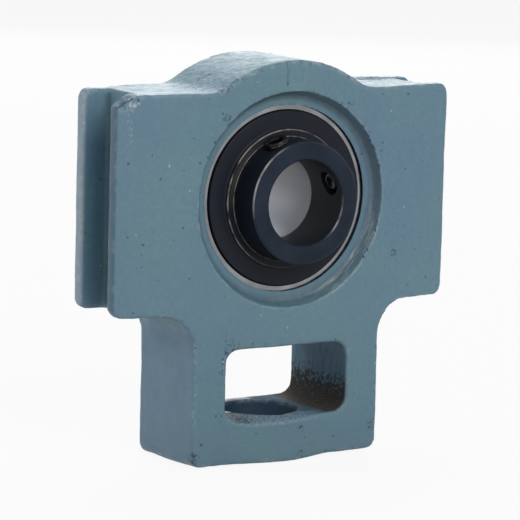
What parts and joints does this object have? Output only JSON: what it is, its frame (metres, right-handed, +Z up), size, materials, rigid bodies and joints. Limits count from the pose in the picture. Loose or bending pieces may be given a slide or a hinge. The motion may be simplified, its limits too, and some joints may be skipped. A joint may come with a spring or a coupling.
{
  "type": "take up bearing unit",
  "caption": "Cast take-up housing with guide grooves and a windowed screw lug, holding a self-aligning ball bearing insert with set screws.",
  "frame": {"origin": "centre of the bearing, on the bore's axis and in the middle plane of the spherical seat", "axes": "+X across the guide grooves to the right, -Y along the bore out of the set-screw end, +Z up along the grooves, away from the screw lug"},
  "size_m": [0.091, 0.031, 0.0944],
  "materials": {
    "paint": "blue-grey paint over rough sand casting",
    "bright_steel": "ground",
    "black_oxide": "black oxide",
    "pressed_black": "black satin sheet",
    "cage_steel": "pressed sheet",
    "ball_steel": "polished",
    "seal_rubber": "matte",
    "screw_steel": "black oxide"
  },
  "bodies": {
    "housing": {"housing": "paint"},
    "insert": {"outer_ring": "bright_steel", "seal_front": "seal_rubber", "seal_back": "seal_rubber"},
    "rotor": {"inner_ring": "black_oxide", "flinger_front": "pressed_black", "flinger_back": "pressed_black"},
    "cage": {"cage_front": "cage_steel", "cage_back": "cage_steel", "rivet_1": "cage_steel", "rivet_2": "cage_steel", "rivet_3": "cage_steel", "rivet_4": "cage_steel", "rivet_5": "cage_steel", "rivet_6": "cage_steel", "rivet_7": "cage_steel", "rivet_8": "cage_steel"},
    "ball_1": {"ball_1": "ball_steel"},
    "ball_2": {"ball_2": "ball_steel"},
    "ball_3": {"ball_3": "ball_steel"},
    "ball_4": {"ball_4": "ball_steel"},
    "ball_5": {"ball_5": "ball_steel"},
    "ball_6": {"ball_6": "ball_steel"},
    "ball_7": {"ball_7": "ball_steel"},
    "ball_8": {"ball_8": "ball_steel"},
    "screw_upper": {"set_screw_upper": "screw_steel"},
    "screw_side": {"set_screw_side": "screw_steel"}
  },
  "joints": [
    {"name": "insert_align", "type": "hinge", "parent": "housing", "child": "insert", "pos_m": [0, 0, 0], "axis": [0, 0, 1], "range_deg": [-5, 5]},
    {"name": "ring_spin", "type": "hinge", "parent": "insert", "child": "rotor", "pos_m": [0, 0, 0], "axis": [0, 1, 0], "continuous": true},
    {"name": "cage_spin", "type": "hinge", "parent": "insert", "child": "cage", "pos_m": [0, 0, 0], "axis": [0, 1, 0], "continuous": true},
    {"name": "ball_1_roll", "type": "hinge", "parent": "cage", "child": "ball_1", "pos_m": [0.01189, 0, 0.01189], "axis": [0, 1, 0], "continuous": true},
    {"name": "ball_2_roll", "type": "hinge", "parent": "cage", "child": "ball_2", "pos_m": [0, 0, 0.01682], "axis": [0, 1, 0], "continuous": true},
    {"name": "ball_3_roll", "type": "hinge", "parent": "cage", "child": "ball_3", "pos_m": [-0.01189, 0, 0.01189], "axis": [0, 1, 0], "continuous": true},
    {"name": "ball_4_roll", "type": "hinge", "parent": "cage", "child": "ball_4", "pos_m": [-0.01682, 0, 0], "axis": [0, 1, 0], "continuous": true},
    {"name": "ball_5_roll", "type": "hinge", "parent": "cage", "child": "ball_5", "pos_m": [-0.01189, 0, -0.01189], "axis": [0, 1, 0], "continuous": true},
    {"name": "ball_6_roll", "type": "hinge", "parent": "cage", "child": "ball_6", "pos_m": [0, 0, -0.01682], "axis": [0, 1, 0], "continuous": true},
    {"name": "ball_7_roll", "type": "hinge", "parent": "cage", "child": "ball_7", "pos_m": [0.01189, 0, -0.01189], "axis": [0, 1, 0], "continuous": true},
    {"name": "ball_8_roll", "type": "hinge", "parent": "cage", "child": "ball_8", "pos_m": [0.01682, 0, 0], "axis": [0, 1, 0], "continuous": true},
    {"name": "screw_upper_drive", "type": "slide", "parent": "rotor", "child": "screw_upper", "axis": [-0.3746, 0, 0.9272], "range_m": [-0.0004, 0.002]},
    {"name": "screw_side_drive", "type": "slide", "parent": "rotor", "child": "screw_side", "axis": [0.9272, 0, 0.3746], "range_m": [-0.0004, 0.002]}
  ],
  "couplings": [
    {"joint": "cage_spin", "follows": "ring_spin", "ratio": 0.38201},
    {"joint": "ball_1_roll", "follows": "ring_spin", "ratio": -2.0008},
    {"joint": "ball_2_roll", "follows": "ring_spin", "ratio": -2.0008},
    {"joint": "ball_3_roll", "follows": "ring_spin", "ratio": -2.0008},
    {"joint": "ball_4_roll", "follows": "ring_spin", "ratio": -2.0008},
    {"joint": "ball_5_roll", "follows": "ring_spin", "ratio": -2.0008},
    {"joint": "ball_6_roll", "follows": "ring_spin", "ratio": -2.0008},
    {"joint": "ball_7_roll", "follows": "ring_spin", "ratio": -2.0008},
    {"joint": "ball_8_roll", "follows": "ring_spin", "ratio": -2.0008}
  ]
}
